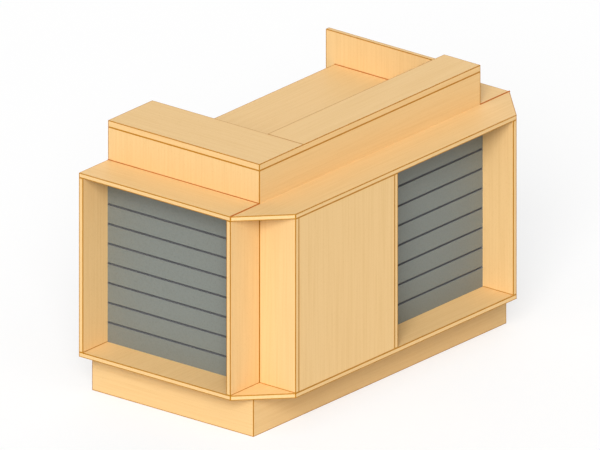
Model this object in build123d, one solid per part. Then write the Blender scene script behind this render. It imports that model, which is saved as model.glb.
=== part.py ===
from build123d import *
import os

# A market stall for one seller: an L-shaped sales counter of laminated
# chipboard. The core's walls stand on a deck with two cut corners and a
# set-back plinth. Open display boxes, backed by slotted panels, stand out from
# the core on the left, the front and the right. The seller works at the open
# rear. Sizes are in millimetres; X runs to the right along the front, Y runs
# to the rear and Z is up. The origin is on the floor, under the middle of the
# stall's outline.

# Stock thicknesses
board = 18.0
top_board = 25.0

# Core carcass, measured over its walls
core_length = 1250.0
core_depth = 690.0

# How far the display boxes stand out from the core
niche_depth = 165.0

# Heights above the floor
plinth_height = 150.0
worktop_height = 850.0
counter_height = 1000.0
storage_shelf_height = 509.0

# Plinth, set back under the deck
plinth_side_inset = 75.0
plinth_front_inset = 120.0
bearer_count = 2

# Raised counter tops
left_top_width = 250.0
front_top_width = 165.0
upright_setback = 20.0

# Front box: clear width behind its closed panel
closed_width = 542.0

# Seller's side
worktop_setback = 40.0
left_bay_width = 598.0
storage_shelf_setback = 60.0

# Slots of the display panels, from the face inwards: a narrow mouth between
# two lips, a wider undercut that holds the foot of a hook, and a solid back
slot_pitch = 75.0
slot_mouth = 8.0
slot_lip = 6.0
slot_undercut = 24.0
slot_undercut_depth = 6.0
slat_back = 13.0
least_top_slat = 40.0

# Outline of the core and of the boxes around it
core_left = -core_length / 2
core_right = core_length / 2
core_rear = (core_depth + niche_depth) / 2
core_front = core_rear - core_depth
box_left = core_left - niche_depth
box_right = core_right + niche_depth
box_front = core_front - niche_depth

# Inner faces of the core walls, and the worktop's rear edge
inner_left = core_left + board
inner_right = core_right - board
inner_front = core_front + board
worktop_rear = core_rear - worktop_setback

# Levels
deck_top = plinth_height + board
worktop_underside = worktop_height - board
tops_underside = counter_height - top_board


def plan_board(corners, level):
    """A board cut to an outline seen from above, between two levels."""
    bottom, top = level
    return Pos(0, 0, bottom) * extrude(Polygon(*corners, align=None), amount=top - bottom, dir=(0, 0, 1))


def square_board(x_span, y_span, level):
    """A square-cut board, given by its spans along X, Y and Z."""
    (x0, x1), (y0, y1) = x_span, y_span
    return plan_board([(x0, y0), (x1, y0), (x1, y1), (x0, y1)], level)


def front_board(left, right, front, level):
    """An upright board facing -Y, with both ends mitred to meet the side boards."""
    rear = front + board
    return plan_board([(left, front), (right, front), (right - board, rear), (left + board, rear)], level)


def side_board(outer, inner, front, rear, level):
    """An upright board running to the rear, with its front end mitred."""
    return plan_board([(outer, front), (inner, front + board), (inner, rear), (outer, rear)], level)


def plinth():
    """The set-back plinth: mitred in front, butted at the rear, with cross bearers inside."""
    left = box_left + plinth_side_inset
    right = box_right - plinth_side_inset
    front = box_front + plinth_front_inset
    level = (0, plinth_height)
    inner_depth = (front + board, core_rear - board)
    made = {
        "plinth_front": front_board(left, right, front, level),
        "plinth_left": side_board(left, left + board, front, core_rear, level),
        "plinth_right": side_board(right, right - board, front, core_rear, level),
        "plinth_rear": square_board((left + board, right - board), (core_rear - board, core_rear), level),
    }
    clear_length = right - left - 2 * board
    bay = (clear_length - bearer_count * board) / (bearer_count + 1)
    for n in range(bearer_count):
        x = left + board + bay + n * (bay + board)
        made[f"plinth_bearer_{n + 1}"] = square_board((x, x + board), inner_depth, level)
    return made


def deck():
    """The floor of the stall and of its boxes, with both front corners cut off."""
    outline = [
        (box_left, core_rear),
        (box_left, core_front),
        (core_left, box_front),
        (core_right, box_front),
        (box_right, core_front),
        (box_right, core_rear),
    ]
    return {"deck": plan_board(outline, (plinth_height, deck_top))}


def core_walls():
    """The side walls up to the raised tops, and the front wall, which the worktop parts from its riser."""
    full = (deck_top, tops_underside)
    return {
        "wall_left": side_board(core_left, inner_left, core_front, core_rear, full),
        "wall_right": side_board(core_right, inner_right, core_front, core_rear, full),
        "wall_front": front_board(core_left, core_right, core_front, (deck_top, worktop_underside)),
        "riser_front": front_board(core_left, core_right, core_front, (worktop_height, tops_underside)),
    }


def worktop():
    """One board: the seller's worktop, running out under the riser into the front box's top.

    Its front wing ends in points that close the cut corners, and it is notched
    round the mitres of the side walls.
    """
    outline = [
        (box_left, core_front),
        (core_left, box_front),
        (core_right, box_front),
        (box_right, core_front),
        (core_right, core_front),
        (inner_right, inner_front),
        (inner_right, worktop_rear),
        (inner_left, worktop_rear),
        (inner_left, inner_front),
        (core_left, core_front),
    ]
    level = (worktop_underside, worktop_height)
    depth = (core_front, core_rear)
    return {
        "worktop": plan_board(outline, level),
        "box_top_left": square_board((box_left, core_left), depth, level),
        "box_top_right": square_board((core_right, box_right), depth, level),
    }


def display_boxes():
    """The upright boards of the three boxes, between the deck and the box tops."""
    level = (deck_top, worktop_underside)
    front_end = (core_front, inner_front)
    rear_end = (core_rear - board, core_rear)
    left_span = (box_left, core_left)
    right_span = (core_right, box_right)
    front_span = (box_front, core_front)
    divider = inner_left + closed_width
    return {
        "left_box_front_side": square_board(left_span, front_end, level),
        "left_box_rear_side": square_board(left_span, rear_end, level),
        "right_box_front_side": square_board(right_span, front_end, level),
        "right_box_rear_side": square_board(right_span, rear_end, level),
        "front_box_left_side": square_board((core_left, inner_left), front_span, level),
        "front_box_divider": square_board((divider, divider + board), front_span, level),
        "front_box_right_side": square_board((inner_right, core_right), front_span, level),
        "front_closed_panel": square_board((inner_left, divider), (box_front, box_front + board), level),
    }


def slat_panel(width):
    """A display panel with level T slots, facing -Y, its back on the XZ plane and its foot at z = 0."""
    height = worktop_underside - deck_top
    thickness = slot_lip + slot_undercut_depth + slat_back
    slot_count = int((height - least_top_slat - slot_undercut / 2) // slot_pitch)
    mouth = Pos(slot_lip / 2 - thickness, 0) * Rectangle(slot_lip, slot_mouth)
    undercut_middle = slot_lip + slot_undercut_depth / 2 - thickness
    undercut = Pos(undercut_middle, 0) * Rectangle(slot_undercut_depth, slot_undercut)
    profile = Pos(-thickness / 2, height / 2) * Rectangle(thickness, height)
    for n in range(1, slot_count + 1):
        profile -= Pos(0, n * slot_pitch) * mouth
        profile -= Pos(0, n * slot_pitch) * undercut
    section = Plane(origin=(-width / 2, 0, 0), x_dir=(0, 1, 0), z_dir=(1, 0, 0))
    return extrude(section * profile, amount=width)


def slat_panels():
    """One slotted panel against the core wall at the back of each open box."""
    side_middle = (core_front + core_rear) / 2
    side_width = core_depth - 2 * board
    front_left = inner_left + closed_width + board
    front_middle = (front_left + inner_right) / 2
    front_width = inner_right - front_left
    return {
        "slat_panel_left": Pos(core_left, side_middle, deck_top) * Rot(0, 0, -90) * slat_panel(side_width),
        "slat_panel_front": Pos(front_middle, core_front, deck_top) * slat_panel(front_width),
        "slat_panel_right": Pos(core_right, side_middle, deck_top) * Rot(0, 0, 90) * slat_panel(side_width),
    }


def storage():
    """The partition and the two shelves under the worktop, open to the seller."""
    partition = inner_left + left_bay_width
    shelf_depth = (inner_front, worktop_rear - storage_shelf_setback)
    shelf_level = (storage_shelf_height - board, storage_shelf_height)
    return {
        "storage_partition": square_board(
            (partition, partition + board), (inner_front, worktop_rear), (deck_top, worktop_underside)
        ),
        "storage_shelf_left": square_board((inner_left, partition), shelf_depth, shelf_level),
        "storage_shelf_right": square_board((partition + board, inner_right), shelf_depth, shelf_level),
    }


def raised_tops():
    """The two raised tops in an L, and the uprights that stand on the worktop to carry them."""
    seam = core_left + left_top_width
    middle = (seam + inner_right) / 2
    top_level = (tops_underside, counter_height)
    upright_level = (worktop_height, tops_underside)
    upright_depth = (inner_front, core_front + front_top_width - upright_setback)
    rear_upright = (worktop_rear - board, worktop_rear)
    return {
        "counter_top_left": square_board((core_left, seam), (core_front, core_rear), top_level),
        "counter_top_front": square_board(
            (seam, core_right), (core_front, core_front + front_top_width), top_level
        ),
        "top_upright_seam": square_board((seam - board / 2, seam + board / 2), upright_depth, upright_level),
        "top_upright_middle": square_board(
            (middle - board / 2, middle + board / 2), upright_depth, upright_level
        ),
        "top_upright_rear": square_board((inner_left, seam - upright_setback), rear_upright, upright_level),
    }


pieces = {
    **plinth(),
    **deck(),
    **core_walls(),
    **worktop(),
    **display_boxes(),
    **slat_panels(),
    **storage(),
    **raised_tops(),
}

os.makedirs("parts", exist_ok=True)
for name, piece in pieces.items():
    export_step(piece, f"parts/{name}.step")
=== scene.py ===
import math

import bmesh
import bpy
from mathutils import Matrix, Vector

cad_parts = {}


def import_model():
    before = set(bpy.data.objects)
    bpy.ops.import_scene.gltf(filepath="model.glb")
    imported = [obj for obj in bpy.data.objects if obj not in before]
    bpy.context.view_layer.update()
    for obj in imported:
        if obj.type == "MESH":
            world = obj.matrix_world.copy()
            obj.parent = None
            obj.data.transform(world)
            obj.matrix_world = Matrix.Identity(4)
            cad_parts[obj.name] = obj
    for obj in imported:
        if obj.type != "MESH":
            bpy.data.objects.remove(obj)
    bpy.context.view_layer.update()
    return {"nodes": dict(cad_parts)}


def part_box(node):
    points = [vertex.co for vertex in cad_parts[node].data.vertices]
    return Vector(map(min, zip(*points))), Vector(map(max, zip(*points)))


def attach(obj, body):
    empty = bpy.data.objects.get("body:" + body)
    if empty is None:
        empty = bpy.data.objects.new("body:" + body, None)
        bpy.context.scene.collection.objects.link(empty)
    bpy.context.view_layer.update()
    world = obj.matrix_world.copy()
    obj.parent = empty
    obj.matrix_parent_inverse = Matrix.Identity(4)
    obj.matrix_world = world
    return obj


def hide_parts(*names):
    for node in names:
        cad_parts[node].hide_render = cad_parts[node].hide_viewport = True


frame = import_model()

# A market stall counter of laminated chipboard, with grey slotted display
# panels. Everything is in metres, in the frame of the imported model.

MM = 0.001

# The view. The picture is a parallel projection, so one scale holds all over it
VIEW_AZIMUTH = math.radians(-51.15)
VIEW_ELEVATION = math.radians(21.25)
PICTURE_WIDTH_PX = 600
PICTURE_CENTRE_PX = (299.5, 224.5)
MM_PER_PX = 3.549
CORE_CORNER_PX = (259.0, 426.5)    # foot of the core's near corner, on the floor
CAMERA_DISTANCE = 6.0
CAMERA_REACH = 100.0

# Edge banding of the boards: its thickness shows along each face, and its corners are only just eased
BANDING = 3.0 * MM
BANDING_STEPS = 4
BANDING_SQUARENESS = 0.92   # of the corner's profile: 0.5 is fully round and 1 is sharp
MERGE_DISTANCE = 0.01 * MM
FLAT_ANGLE = math.radians(1)    # triangles that meet at less than this are one flat face

# Slots of the display panels
SLOT_PITCH = 75 * MM
SLOT_COUNT = 8
SLOT_MOUTH = 8 * MM
SLOT_LIP = 6 * MM
SLOT_UNDERCUT = 24 * MM
SLOT_UNDERCUT_DEPTH = 6 * MM
SLOT_END_BAND = 0.8 * MM    # thin strip at the panel's ends, which closes the slots
SLOT_ARRIS = 0.6 * MM
SLOT_ARRIS_STEPS = 2
SLOT_ARRIS_ANGLE = math.radians(40)     # edges sharper than this are eased
MELAMINE_DEPTH = 0.1 * MM   # what lies deeper than this behind the panel's face is bare fibreboard

# Beads of sealant: in the corners where a top meets a wall, and on the seams between two tops
CORNER_BEAD_RADIUS = 2.4 * MM
SEAM_BEAD_RADIUS = 3.0 * MM
BEAD_SIDES = 12
BEAD_END_INSET = 0.5 * MM   # a bead stops short of the board's edge

# Shelf pins under the storage shelves
PIN_RADIUS = 2.5 * MM
PIN_LENGTH = 14 * MM
PIN_FLANGE_RADIUS = 4.5 * MM
PIN_FLANGE_THICKNESS = 1.5 * MM
PIN_SIDES = 20
PIN_END_INSET = 60 * MM

# Studio
FLOOR_SIZE = 30.0
FLOOR_DROP = 0.2 * MM
FLOOR_SHADOW_SHARE = 0.35

# Colours, as sRGB
BEECH_DECOR = "#E8C38A"
BEECH_STREAK = "#DEB57A"
BEECH_FLECK = "#C99C5E"
BANDING_BROWN = "#B4780A"
SEALANT_BROWN = "#B0621A"
SLAT_GREY = "#7B807B"
SLAT_GREY_SPECK = "#70736D"
SLOT_CORE = "#77787A"
NICKEL = "#C9C7C0"
STUDIO_WHITE = "#FFFFFF"
FLOOR_GREY = "#E6E6E6"


def linear(hex_colour):
    """An sRGB hex colour as linear RGBA."""
    channels = [int(hex_colour[i:i + 2], 16) / 255 for i in (1, 3, 5)]
    return tuple(c / 12.92 if c <= 0.04045 else ((c + 0.055) / 1.055) ** 2.4 for c in channels) + (1.0,)


def add_node(tree, kind, inputs=None, **settings):
    """Adds a node, sets its properties, and fills or links the inputs given by name or number."""
    node = tree.nodes.new(kind)
    for key, value in settings.items():
        setattr(node, key, value)
    for key, value in (inputs or {}).items():
        if isinstance(value, bpy.types.NodeSocket):
            tree.links.new(value, node.inputs[key])
        else:
            node.inputs[key].default_value = value
    return node


def new_material(name):
    """An empty node material with its output node."""
    material = bpy.data.materials.new(name)
    material.use_nodes = True
    tree = material.node_tree
    tree.nodes.clear()
    return material, tree, tree.nodes.new("ShaderNodeOutputMaterial")


# Sockets of a Mix node that mixes colours, which share their names with others
MIX_SHARE, MIX_FIRST, MIX_SECOND, MIXED = 0, 6, 7, 2

# Melamine-faced chipboard in a printed beech decor, pressed with a fine satin
# texture. The eye sees a warm, even board with faint streaks along its length.
STREAK_LENGTH = 340 * MM
STREAK_WIDTH = 7 * MM         # real beech figure is finer: drawn as coarse as it needs to show
FLECK_LENGTH = 9 * MM
FLECK_WIDTH = 1.1 * MM
PRESS_TEXTURE = 0.5 * MM
PRESS_DEPTH = 0.05 * MM
BOARD_SHIFT = "board_shift"   # sets the boards apart, as cut from different places in the sheet
BOARD_SHIFT_STEP = Vector((0.37, 0.53, 0.71))


def melamine_beech(name, grain_axis):
    """Melamine-faced chipboard, beech decor, with the grain along one axis."""
    material, tree, output = new_material(name)
    place = add_node(tree, "ShaderNodeTexCoord").outputs["Object"]
    shift = add_node(tree, "ShaderNodeAttribute", attribute_name=BOARD_SHIFT).outputs["Vector"]
    place = add_node(tree, "ShaderNodeVectorMath", operation="ADD", inputs={0: place, 1: shift}).outputs[0]

    streak_size = [STREAK_LENGTH if axis == grain_axis else STREAK_WIDTH for axis in range(3)]
    along_streaks = add_node(tree, "ShaderNodeMapping", inputs={
        "Vector": place, "Scale": [1 / size for size in streak_size]})
    streaks = add_node(tree, "ShaderNodeTexNoise", inputs={
        "Vector": along_streaks.outputs[0], "Scale": 1.0, "Detail": 4.0, "Roughness": 0.55})
    streak_mask = add_node(tree, "ShaderNodeMapRange", inputs={
        "Value": streaks.outputs[0], "From Min": 0.42, "From Max": 0.72, "To Min": 0.0, "To Max": 0.5})
    streaked = add_node(tree, "ShaderNodeMix", data_type="RGBA", inputs={
        MIX_SHARE: streak_mask.outputs[0],
        MIX_FIRST: linear(BEECH_DECOR), MIX_SECOND: linear(BEECH_STREAK)})

    fleck_size = [FLECK_LENGTH if axis == grain_axis else FLECK_WIDTH for axis in range(3)]
    along_flecks = add_node(tree, "ShaderNodeMapping", inputs={
        "Vector": place, "Scale": [1 / size for size in fleck_size]})
    flecks = add_node(tree, "ShaderNodeTexNoise", inputs={
        "Vector": along_flecks.outputs[0], "Scale": 1.0, "Detail": 1.0})
    fleck_mask = add_node(tree, "ShaderNodeMapRange", inputs={
        "Value": flecks.outputs[0], "From Min": 0.62, "From Max": 0.74, "To Min": 0.0, "To Max": 0.35})
    flecked = add_node(tree, "ShaderNodeMix", data_type="RGBA", inputs={
        MIX_SHARE: fleck_mask.outputs[0],
        MIX_FIRST: streaked.outputs[MIXED], MIX_SECOND: linear(BEECH_FLECK)})

    press = add_node(tree, "ShaderNodeTexNoise", inputs={
        "Vector": place, "Scale": 1 / PRESS_TEXTURE, "Detail": 2.0})
    bump = add_node(tree, "ShaderNodeBump", inputs={
        "Strength": 0.12, "Distance": PRESS_DEPTH, "Height": press.outputs[0]})
    sheen = add_node(tree, "ShaderNodeMapRange", inputs={
        "Value": streaks.outputs[0], "To Min": 0.46, "To Max": 0.56})
    shader = add_node(tree, "ShaderNodeBsdfPrincipled", inputs={
        "Base Color": flecked.outputs[MIXED], "Roughness": sheen.outputs[0], "Normal": bump.outputs[0],
        "IOR": 1.46, "Specular IOR Level": 0.08})
    tree.links.new(shader.outputs[0], output.inputs[0])
    return material


# ABS edge banding, extruded and brown all through. The eye sees a thin brown
# line along every edge of a board, a little paler where it is worn.
BANDING_WEAR = 40 * MM


def abs_banding():
    """ABS edge banding, brown all through."""
    material, tree, output = new_material("abs_edge_banding")
    place = add_node(tree, "ShaderNodeTexCoord").outputs["Object"]
    wear = add_node(tree, "ShaderNodeTexNoise", inputs={
        "Vector": place, "Scale": 1 / BANDING_WEAR, "Detail": 3.0})
    mask = add_node(tree, "ShaderNodeMapRange", inputs={
        "Value": wear.outputs[0], "From Min": 0.5, "From Max": 0.8, "To Min": 0.0, "To Max": 0.2})
    worn = add_node(tree, "ShaderNodeMix", data_type="RGBA", inputs={
        MIX_SHARE: mask.outputs[0], MIX_FIRST: linear(BANDING_BROWN), MIX_SECOND: linear(BEECH_FLECK)})
    shader = add_node(tree, "ShaderNodeBsdfPrincipled", inputs={
        "Base Color": worn.outputs[MIXED], "Roughness": 0.5, "IOR": 1.5, "Specular IOR Level": 0.3})
    tree.links.new(shader.outputs[0], output.inputs[0])
    return material


# Acrylic sealant, smoothed into a joint by hand. The eye sees a dull brown
# line with faint ripples from the finger.
SEALANT_RIPPLE = 8 * MM
SEALANT_RIPPLE_DEPTH = 0.2 * MM


def joint_sealant():
    """Acrylic joint sealant, smoothed by hand."""
    material, tree, output = new_material("acrylic_joint_sealant")
    place = add_node(tree, "ShaderNodeTexCoord").outputs["Object"]
    ripples = add_node(tree, "ShaderNodeTexNoise", inputs={
        "Vector": place, "Scale": 1 / SEALANT_RIPPLE, "Detail": 2.0})
    bump = add_node(tree, "ShaderNodeBump", inputs={
        "Strength": 0.2, "Distance": SEALANT_RIPPLE_DEPTH, "Height": ripples.outputs[0]})
    shader = add_node(tree, "ShaderNodeBsdfPrincipled", inputs={
        "Base Color": linear(SEALANT_BROWN), "Roughness": 0.6, "Normal": bump.outputs[0],
        "Specular IOR Level": 0.3})
    tree.links.new(shader.outputs[0], output.inputs[0])
    return material


# Melamine pressed onto the slotted fibreboard. The eye sees a matt mid grey
# with a soft speck.
SLAT_SPECK = 6 * MM           # a real speck is finer: drawn as coarse as it needs to show
SLAT_SPECK_DEPTH = 0.04 * MM


def melamine_grey():
    """The slotted panels' melamine face, matt grey."""
    material, tree, output = new_material("melamine_grey")
    place = add_node(tree, "ShaderNodeTexCoord").outputs["Object"]
    speck = add_node(tree, "ShaderNodeTexNoise", inputs={
        "Vector": place, "Scale": 1 / SLAT_SPECK, "Detail": 4.0})
    mask = add_node(tree, "ShaderNodeMapRange", inputs={
        "Value": speck.outputs[0], "From Min": 0.45, "From Max": 0.75, "To Min": 0.0, "To Max": 0.6})
    specked = add_node(tree, "ShaderNodeMix", data_type="RGBA", inputs={
        MIX_SHARE: mask.outputs[0], MIX_FIRST: linear(SLAT_GREY), MIX_SECOND: linear(SLAT_GREY_SPECK)})
    bump = add_node(tree, "ShaderNodeBump", inputs={
        "Strength": 0.1, "Distance": SLAT_SPECK_DEPTH, "Height": speck.outputs[0]})
    shader = add_node(tree, "ShaderNodeBsdfPrincipled", inputs={
        "Base Color": specked.outputs[MIXED], "Roughness": 0.6, "Normal": bump.outputs[0],
        "IOR": 1.46, "Specular IOR Level": 0.3})
    tree.links.new(shader.outputs[0], output.inputs[0])
    return material


# Fibreboard where the slots are routed, stained dark. The eye sees a dull,
# slightly rough cut.
CUT_FIBRES = 2 * MM           # real fibres are finer: drawn coarse enough to show from close by
CUT_FIBRES_DEPTH = 0.1 * MM


def routed_fibreboard():
    """Routed fibreboard, stained dark."""
    material, tree, output = new_material("routed_fibreboard")
    place = add_node(tree, "ShaderNodeTexCoord").outputs["Object"]
    fibres = add_node(tree, "ShaderNodeTexNoise", inputs={
        "Vector": place, "Scale": 1 / CUT_FIBRES, "Detail": 3.0})
    bump = add_node(tree, "ShaderNodeBump", inputs={
        "Strength": 0.3, "Distance": CUT_FIBRES_DEPTH, "Height": fibres.outputs[0]})
    shader = add_node(tree, "ShaderNodeBsdfPrincipled", inputs={
        "Base Color": linear(SLOT_CORE), "Roughness": 0.85, "Normal": bump.outputs[0],
        "Specular IOR Level": 0.2})
    tree.links.new(shader.outputs[0], output.inputs[0])
    return material


# Nickel-plated steel of the shelf pins. The eye sees pale metal with a soft,
# uneven shine.
PLATING_HAZE = 3 * MM


def nickel_plate():
    """Nickel-plated steel."""
    material, tree, output = new_material("nickel_plated_steel")
    place = add_node(tree, "ShaderNodeTexCoord").outputs["Object"]
    haze = add_node(tree, "ShaderNodeTexNoise", inputs={
        "Vector": place, "Scale": 1 / PLATING_HAZE, "Detail": 2.0})
    roughness = add_node(tree, "ShaderNodeMapRange", inputs={
        "Value": haze.outputs[0], "To Min": 0.25, "To Max": 0.4})
    shader = add_node(tree, "ShaderNodeBsdfPrincipled", inputs={
        "Base Color": linear(NICKEL), "Metallic": 1.0, "Roughness": roughness.outputs[0]})
    tree.links.new(shader.outputs[0], output.inputs[0])
    return material


BEECH = [melamine_beech(f"melamine_beech_grain_{'xyz'[axis]}", axis) for axis in range(3)]
BANDING_MATERIAL = abs_banding()
SEALANT = joint_sealant()
GREY = melamine_grey()
SLOT_DARK = routed_fibreboard()
PIN_METAL = nickel_plate()

# Which way the face of each slotted panel looks. All the other nodes are boards
PANEL_FACINGS = {
    "slat_panel_left": Vector((-1, 0, 0)),
    "slat_panel_front": Vector((0, -1, 0)),
    "slat_panel_right": Vector((1, 0, 0)),
}
BOARD_NODES = sorted(set(frame["nodes"]) - set(PANEL_FACINGS))
PINNED_SHELVES = ("storage_shelf_left", "storage_shelf_right")

# Edges that show no line: the riser's foot is glued tight to the worktop, and the
# raised tops are banded along the front in one length, over the seam between them
TIGHT_EDGES = {
    "riser_front": ("front", "foot"),
    "counter_top_left": ("right", "front"),
    "counter_top_front": ("left", "front"),
}


def finish_piece(name, mesh, slot, *nodes):
    """Makes an object of a mesh that is already in place, and lets it stand for its CAD nodes."""
    piece = bpy.data.objects.new(name, mesh)
    bpy.context.scene.collection.objects.link(piece)
    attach(piece, "root")
    if nodes:
        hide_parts(*nodes)
    return piece


def on_sides(edge, low, high, names):
    """True for an edge that lies on all the named sides of a box."""
    sides = {
        "left": (0, low.x), "right": (0, high.x), "front": (1, low.y),
        "rear": (1, high.y), "foot": (2, low.z), "head": (2, high.z),
    }
    return all(
        abs(vertex.co[axis] - place) < MERGE_DISTANCE
        for axis, place in map(sides.get, names) for vertex in edge.verts
    )


def board(node, order):
    """A board of laminated chipboard with banding along its arrises."""
    low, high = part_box(node)
    size = high - low
    grain_axis = max(range(3), key=lambda axis: size[axis])
    mesh = frame["nodes"][node].data.copy()
    mesh.name = node + "_laminated"
    mesh.materials.clear()
    mesh.materials.append(BEECH[grain_axis])
    mesh.materials.append(BANDING_MATERIAL)
    shape = bmesh.new()
    shape.from_mesh(mesh)
    bmesh.ops.remove_doubles(shape, verts=shape.verts, dist=MERGE_DISTANCE)
    bmesh.ops.dissolve_limit(shape, angle_limit=FLAT_ANGLE, verts=shape.verts, edges=shape.edges)
    tight = TIGHT_EDGES.get(node)
    edges = [edge for edge in shape.edges if not (tight and on_sides(edge, low, high, tight))]
    for face in shape.faces:
        face.material_index = 0
        face.smooth = False
    bmesh.ops.bevel(
        shape, geom=edges, offset=BANDING, offset_type="OFFSET", segments=BANDING_STEPS,
        profile=BANDING_SQUARENESS, affect="EDGES", material=1)
    # At mitres the corner's profile swings out by up to 0.6 mm, and is set back onto the board
    for vertex in shape.verts:
        vertex.co = [min(max(vertex.co[axis], low[axis]), high[axis]) for axis in range(3)]
    shape.to_mesh(mesh)
    shape.free()
    shift = mesh.attributes.new(BOARD_SHIFT, "FLOAT_VECTOR", "POINT")
    step = BOARD_SHIFT_STEP * order
    shift.data.foreach_set("vector", [value for _ in mesh.vertices for value in step])
    return finish_piece(node + "_laminated", mesh, "laminated_board", node)


def slotted_panel_tree():
    """Geometry Nodes: a board with a row of T slots.

    Its face lies on the XZ plane and looks to -Y, and its foot is at z = 0.
    """
    tree = bpy.data.node_groups.new("slotted_panel", "GeometryNodeTree")
    sizes = [
        "Width", "Height", "Thickness", "Pitch", "Mouth", "Lip", "Undercut", "Undercut Depth",
        "End Band", "Melamine Depth",
    ]
    for name in sizes:
        tree.interface.new_socket(name, in_out="INPUT", socket_type="NodeSocketFloat")
    tree.interface.new_socket("Slots", in_out="INPUT", socket_type="NodeSocketInt")
    tree.interface.new_socket("Face", in_out="INPUT", socket_type="NodeSocketMaterial")
    tree.interface.new_socket("Core", in_out="INPUT", socket_type="NodeSocketMaterial")
    tree.interface.new_socket("Panel", in_out="OUTPUT", socket_type="NodeSocketGeometry")
    given = tree.nodes.new("NodeGroupInput").outputs

    def block(width, depth, height, moved_by, start=(0, 0, 0)):
        """A block, moved from the middle by a share of its own size and then by the start."""
        size = add_node(tree, "ShaderNodeCombineXYZ", inputs={"X": width, "Y": depth, "Z": height}).outputs[0]
        middle = add_node(tree, "ShaderNodeVectorMath", operation="MULTIPLY_ADD", inputs={
            0: size, 1: moved_by, 2: start}).outputs[0]
        cube = add_node(tree, "GeometryNodeMeshCube", inputs={"Size": size})
        return add_node(tree, "GeometryNodeTransform", inputs={
            "Geometry": cube.outputs["Mesh"], "Translation": middle}).outputs[0]

    def cut_slots(panel, cutter):
        """Takes the cutter out of the panel once for each slot."""
        rise = add_node(tree, "ShaderNodeCombineXYZ", inputs={"Z": given["Pitch"]}).outputs[0]
        line = add_node(tree, "GeometryNodeMeshLine", mode="OFFSET", inputs={
            "Count": given["Slots"], "Start Location": rise, "Offset": rise})
        copies = add_node(tree, "GeometryNodeInstanceOnPoints", inputs={
            "Points": line.outputs[0], "Instance": cutter})
        cutters = add_node(tree, "GeometryNodeRealizeInstances", inputs={0: copies.outputs[0]})
        knife = add_node(tree, "GeometryNodeMeshBoolean", operation="DIFFERENCE", solver="EXACT", inputs={
            "Mesh 1": panel, "Mesh 2": cutters.outputs[0]})
        return knife.outputs["Mesh"]

    # The end bands are left uncut at both ends of every slot
    slot_length = add_node(tree, "ShaderNodeMath", operation="MULTIPLY_ADD", inputs={
        0: given["End Band"], 1: -2.0, 2: given["Width"]}).outputs[0]
    behind_lips = add_node(tree, "ShaderNodeCombineXYZ", inputs={"Y": given["Lip"]}).outputs[0]
    undercut = block(slot_length, given["Undercut Depth"], given["Undercut"], (0, 0.5, 0), behind_lips)
    # The mouth's cutter is two lips deep, and stands half a lip out of both sides of the lip
    mouth_depth = add_node(tree, "ShaderNodeMath", operation="MULTIPLY", inputs={0: given["Lip"], 1: 2.0})
    mouth = block(slot_length, mouth_depth.outputs[0], given["Mouth"], (0, 0.25, 0))
    panel = block(given["Width"], given["Thickness"], given["Height"], (0, 0.5, 0.5))
    panel = cut_slots(cut_slots(panel, undercut), mouth)

    panel = add_node(tree, "GeometryNodeRealizeInstances", inputs={0: panel}).outputs[0]
    place = add_node(tree, "GeometryNodeInputPosition")
    depth = add_node(tree, "ShaderNodeSeparateXYZ", inputs={0: place.outputs[0]})
    behind_face = add_node(tree, "ShaderNodeMath", operation="GREATER_THAN", inputs={
        0: depth.outputs["Y"], 1: given["Melamine Depth"]})
    panel = add_node(tree, "GeometryNodeSetMaterial", inputs={
        "Geometry": panel, "Material": given["Face"]}).outputs[0]
    panel = add_node(tree, "GeometryNodeSetMaterial", inputs={
        "Geometry": panel, "Selection": behind_face.outputs[0], "Material": given["Core"]}).outputs[0]
    add_node(tree, "NodeGroupOutput", inputs={0: panel})
    return tree


def grown_mesh(tree, values, finishing=(), start=None):
    """The plain mesh that a Geometry Nodes tree makes, with any finishing modifiers applied."""
    holder = bpy.data.objects.new(tree.name + "_holder", start or bpy.data.meshes.new(tree.name))
    bpy.context.scene.collection.objects.link(holder)
    modifier = holder.modifiers.new(tree.name, "NODES")
    modifier.node_group = tree
    sockets = {item.name: item.identifier for item in tree.interface.items_tree if item.in_out == "INPUT"}
    for name, value in values.items():
        modifier[sockets[name]] = value
    for kind, settings in finishing:
        extra = holder.modifiers.new(kind.lower(), kind)
        for key, value in settings.items():
            setattr(extra, key, value)
    evaluated = holder.evaluated_get(bpy.context.evaluated_depsgraph_get())
    mesh = bpy.data.meshes.new_from_object(evaluated)
    bpy.data.objects.remove(holder)
    return mesh


def slotted_panel(tree, node, facing):
    """The slotted panel of one display box, set where its CAD node is, facing the given way."""
    low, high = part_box(node)
    size = high - low
    across, deep = (size.x, size.y) if facing.y else (size.y, size.x)
    values = {
        "Width": across, "Height": size.z, "Thickness": deep, "Slots": SLOT_COUNT, "Pitch": SLOT_PITCH,
        "Mouth": SLOT_MOUTH, "Lip": SLOT_LIP, "Undercut": SLOT_UNDERCUT,
        "Undercut Depth": SLOT_UNDERCUT_DEPTH, "End Band": SLOT_END_BAND,
        "Melamine Depth": MELAMINE_DEPTH, "Face": GREY, "Core": SLOT_DARK,
    }
    easing = {
        "width": SLOT_ARRIS, "segments": SLOT_ARRIS_STEPS, "limit_method": "ANGLE",
        "angle_limit": SLOT_ARRIS_ANGLE,
    }
    mesh = grown_mesh(tree, values, finishing=[("BEVEL", easing)])
    middle = (low + high) / 2
    face = Vector((middle.x, middle.y, low.z)) + facing * (deep / 2)
    turn = math.atan2(facing.x, -facing.y)
    mesh.transform(Matrix.Translation(face) @ Matrix.Rotation(turn, 4, "Z"))
    mesh.name = node + "_slotted"
    return finish_piece(node + "_slotted", mesh, "slotted_panel", node)


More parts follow.
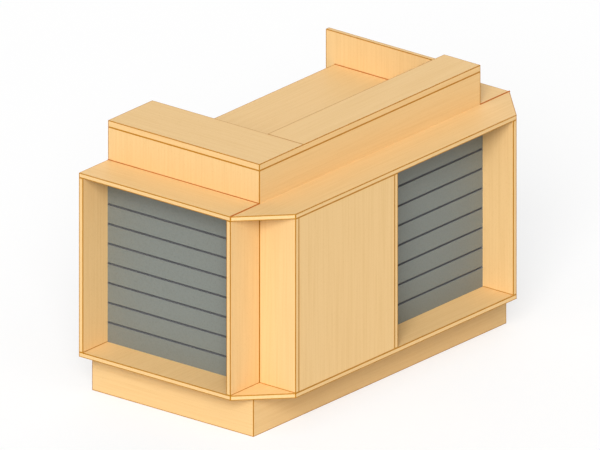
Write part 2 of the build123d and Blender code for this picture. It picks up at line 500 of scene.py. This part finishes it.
def joint_bead_tree():
    """Geometry Nodes: a round bead along each edge of the mesh it is given."""
    tree = bpy.data.node_groups.new("joint_beads", "GeometryNodeTree")
    tree.interface.new_socket("Joints", in_out="INPUT", socket_type="NodeSocketGeometry")
    tree.interface.new_socket("Radius", in_out="INPUT", socket_type="NodeSocketFloat")
    tree.interface.new_socket("Sides", in_out="INPUT", socket_type="NodeSocketInt")
    tree.interface.new_socket("Sealant", in_out="INPUT", socket_type="NodeSocketMaterial")
    tree.interface.new_socket("Beads", in_out="OUTPUT", socket_type="NodeSocketGeometry")
    given = tree.nodes.new("NodeGroupInput").outputs
    paths = add_node(tree, "GeometryNodeMeshToCurve", inputs={"Mesh": given["Joints"]})
    section = add_node(tree, "GeometryNodeCurvePrimitiveCircle", mode="RADIUS", inputs={
        "Resolution": given["Sides"], "Radius": given["Radius"]})
    beads = add_node(tree, "GeometryNodeCurveToMesh", inputs={
        "Curve": paths.outputs[0], "Profile Curve": section.outputs[0], "Fill Caps": True}).outputs[0]
    beads = add_node(tree, "GeometryNodeRealizeInstances", inputs={0: beads}).outputs[0]
    beads = add_node(tree, "GeometryNodeSetMaterial", inputs={
        "Geometry": beads, "Material": given["Sealant"]}).outputs[0]
    add_node(tree, "NodeGroupOutput", inputs={0: beads})
    return tree


def joint_bead(tree, name, radius, start, end):
    """A straight bead of sealant along the joint between two boards."""
    path = bpy.data.meshes.new(name + "_path")
    path.from_pydata([start, end], [(0, 1)], [])
    mesh = grown_mesh(tree, {"Radius": radius, "Sides": BEAD_SIDES, "Sealant": SEALANT}, start=path)
    mesh.name = name
    return finish_piece(name, mesh, "laminated_board")


def sealed_joints(tree):
    """The beads of sealant on the joints that lie open.

    Each box top runs up against the outer face of a side wall, and meets the
    worktop's wing in a seam. The worktop runs up against the right wall's inner
    face.
    """
    worktop_low, worktop_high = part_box("worktop")
    left_wall_low, left_wall_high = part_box("wall_left")
    right_wall_low, right_wall_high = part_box("wall_right")
    riser_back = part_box("riser_front")[1].y
    # The storage partition ends flush with the worktop's rear edge
    worktop_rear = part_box("storage_partition")[1].y
    level = worktop_high.z
    seam = left_wall_low.y
    wall_end = left_wall_high.y - BEAD_END_INSET
    worktop_end = worktop_rear - BEAD_END_INSET
    for side, wall_face, wing_end in (
        ("left", left_wall_low.x, worktop_low.x + BEAD_END_INSET),
        ("right", right_wall_high.x, worktop_high.x - BEAD_END_INSET),
    ):
        joint_bead(
            tree, f"bead_{side}_box_top", CORNER_BEAD_RADIUS,
            (wall_face, seam, level), (wall_face, wall_end, level))
        joint_bead(
            tree, f"bead_{side}_seam", SEAM_BEAD_RADIUS,
            (wing_end, seam, level), (wall_face, seam, level))
    joint_bead(
        tree, "bead_worktop_right", CORNER_BEAD_RADIUS,
        (right_wall_low.x, riser_back, level), (right_wall_low.x, worktop_end, level))


def shelf_pin_tree():
    """Geometry Nodes: a shelf pin at each corner of a span, lying along X, with a flange in its middle."""
    tree = bpy.data.node_groups.new("shelf_pins", "GeometryNodeTree")
    for name in ("Radius", "Length", "Flange Radius", "Flange Thickness", "Span X", "Span Y"):
        tree.interface.new_socket(name, in_out="INPUT", socket_type="NodeSocketFloat")
    tree.interface.new_socket("Sides", in_out="INPUT", socket_type="NodeSocketInt")
    tree.interface.new_socket("Metal", in_out="INPUT", socket_type="NodeSocketMaterial")
    tree.interface.new_socket("Pins", in_out="OUTPUT", socket_type="NodeSocketGeometry")
    given = tree.nodes.new("NodeGroupInput").outputs

    def rod(radius, length):
        """A round rod along X."""
        cylinder = add_node(tree, "GeometryNodeMeshCylinder", inputs={
            "Vertices": given["Sides"], "Radius": radius, "Depth": length})
        return add_node(tree, "GeometryNodeTransform", inputs={
            "Geometry": cylinder.outputs["Mesh"], "Rotation": (0, math.pi / 2, 0)}).outputs[0]

    pin = tree.nodes.new("GeometryNodeJoinGeometry")
    tree.links.new(rod(given["Radius"], given["Length"]), pin.inputs[0])
    tree.links.new(rod(given["Flange Radius"], given["Flange Thickness"]), pin.inputs[0])
    corners = add_node(tree, "GeometryNodeMeshGrid", inputs={
        "Size X": given["Span X"], "Size Y": given["Span Y"], "Vertices X": 2, "Vertices Y": 2})
    placed = add_node(tree, "GeometryNodeInstanceOnPoints", inputs={
        "Points": corners.outputs["Mesh"], "Instance": pin.outputs[0]}).outputs[0]
    placed = add_node(tree, "GeometryNodeRealizeInstances", inputs={0: placed}).outputs[0]
    placed = add_node(tree, "GeometryNodeSetMaterial", inputs={
        "Geometry": placed, "Material": given["Metal"]}).outputs[0]
    add_node(tree, "NodeGroupOutput", inputs={0: placed})
    return tree


def shelf_pins(tree, node):
    """Four pins under one storage shelf, half of each let into the board beside it."""
    low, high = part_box(node)
    values = {
        "Radius": PIN_RADIUS, "Length": PIN_LENGTH, "Flange Radius": PIN_FLANGE_RADIUS,
        "Flange Thickness": PIN_FLANGE_THICKNESS, "Sides": PIN_SIDES, "Metal": PIN_METAL,
        "Span X": high.x - low.x, "Span Y": high.y - low.y - 2 * PIN_END_INSET,
    }
    mesh = grown_mesh(tree, values)
    middle = (low + high) / 2
    mesh.transform(Matrix.Translation((middle.x, middle.y, low.z - PIN_RADIUS)))
    mesh.name = node + "_pins"
    return finish_piece(node + "_pins", mesh, "laminated_board")


def seen_directly(tree):
    """1 for a ray that shows a thing to the camera, straight or through gloss or glass, else 0."""
    rays = add_node(tree, "ShaderNodeLightPath").outputs
    seen = rays["Is Camera Ray"]
    for name in ("Is Glossy Ray", "Is Transmission Ray"):
        either = add_node(tree, "ShaderNodeMath", operation="MAXIMUM", inputs={0: seen, 1: rays[name]})
        seen = either.outputs[0]
    return seen


def floor_paint():
    """Matt studio floor: near white to the camera, and it still takes a share of the object's shadow."""
    material, tree, output = new_material("studio_floor_paint")
    seen = seen_directly(tree)
    paint = add_node(tree, "ShaderNodeMix", data_type="RGBA", inputs={
        MIX_SHARE: seen, MIX_FIRST: linear(FLOOR_GREY), MIX_SECOND: linear(STUDIO_WHITE)})
    lit = add_node(tree, "ShaderNodeBsdfDiffuse", inputs={"Color": paint.outputs[MIXED]})
    glow = add_node(tree, "ShaderNodeEmission", inputs={"Color": linear(STUDIO_WHITE), "Strength": 1.0})
    share = add_node(tree, "ShaderNodeMath", operation="MULTIPLY", inputs={
        0: seen, 1: 1 - FLOOR_SHADOW_SHARE})
    mixed = add_node(tree, "ShaderNodeMixShader", inputs={
        0: share.outputs[0], 1: lit.outputs[0], 2: glow.outputs[0]})
    tree.links.new(mixed.outputs[0], output.inputs[0])
    return material


def floor():
    """The studio floor."""
    mesh = bpy.data.meshes.new("studio_floor")
    half = FLOOR_SIZE / 2
    corners = [(-half, -half), (half, -half), (half, half), (-half, half)]
    mesh.from_pydata([(x, y, -FLOOR_DROP) for x, y in corners], [], [(0, 1, 2, 3)])
    mesh.materials.append(floor_paint())
    plane = bpy.data.objects.new("studio_floor", mesh)
    bpy.context.scene.collection.objects.link(plane)


def world(strength):
    """Even light from all round, seen as white."""
    sky = bpy.data.worlds.new("studio_world")
    bpy.context.scene.world = sky
    sky.use_nodes = True
    tree = sky.node_tree
    tree.nodes.clear()
    level = add_node(tree, "ShaderNodeMapRange", inputs={
        "Value": seen_directly(tree), "To Min": strength, "To Max": 1.0})
    back = add_node(tree, "ShaderNodeBackground", inputs={
        "Color": linear(STUDIO_WHITE), "Strength": level.outputs[0]})
    output = tree.nodes.new("ShaderNodeOutputWorld")
    tree.links.new(back.outputs[0], output.inputs[0])


def sun(name, towards, strength, degrees_wide):
    """A soft lamp far away, in the given direction from the stall."""
    lamp = bpy.data.lights.new(name, "SUN")
    lamp.energy = strength
    lamp.angle = math.radians(degrees_wide)
    holder = bpy.data.objects.new(name, lamp)
    holder.rotation_mode = "QUATERNION"
    holder.rotation_quaternion = Vector(towards).to_track_quat("Z", "Y")
    bpy.context.scene.collection.objects.link(holder)


def camera():
    """A parallel camera at the picture's angle, scale and framing."""
    back = Vector((
        math.sin(VIEW_AZIMUTH) * math.cos(VIEW_ELEVATION),
        -math.cos(VIEW_AZIMUTH) * math.cos(VIEW_ELEVATION),
        math.sin(VIEW_ELEVATION)))
    right = Vector((math.cos(VIEW_AZIMUTH), math.sin(VIEW_AZIMUTH), 0))
    up = back.cross(right)
    corner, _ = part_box("wall_left")
    foot = Vector((corner.x, corner.y, 0))
    px = MM_PER_PX * MM
    aim = foot + right * (PICTURE_CENTRE_PX[0] - CORE_CORNER_PX[0]) * px
    aim = aim + up * (CORE_CORNER_PX[1] - PICTURE_CENTRE_PX[1]) * px
    lens = bpy.data.cameras.new("picture_camera")
    lens.type = "ORTHO"
    lens.ortho_scale = PICTURE_WIDTH_PX * px
    lens.clip_end = CAMERA_REACH
    holder = bpy.data.objects.new("picture_camera", lens)
    holder.location = aim + back * CAMERA_DISTANCE
    holder.rotation_mode = "QUATERNION"
    holder.rotation_quaternion = back.to_track_quat("Z", "Y")
    bpy.context.scene.collection.objects.link(holder)
    bpy.context.scene.camera = holder


for order, node in enumerate(BOARD_NODES):
    board(node, order)
panel_tree = slotted_panel_tree()
for node, facing in PANEL_FACINGS.items():
    slotted_panel(panel_tree, node, facing)
sealed_joints(joint_bead_tree())
pin_tree = shelf_pin_tree()
for node in PINNED_SHELVES:
    shelf_pins(pin_tree, node)

floor()
world(strength=0.24)
sun("key_from_near_corner", towards=(-0.73, -0.5, 0.49), strength=2.8, degrees_wide=25)
sun("overhead_light", towards=(-0.45, -0.35, 0.9), strength=0.8, degrees_wide=60)
sun("rear_fill", towards=(0.8, 0.7, 0.6), strength=0.62, degrees_wide=60)
camera()
bpy.context.scene.view_settings.view_transform = "Standard"
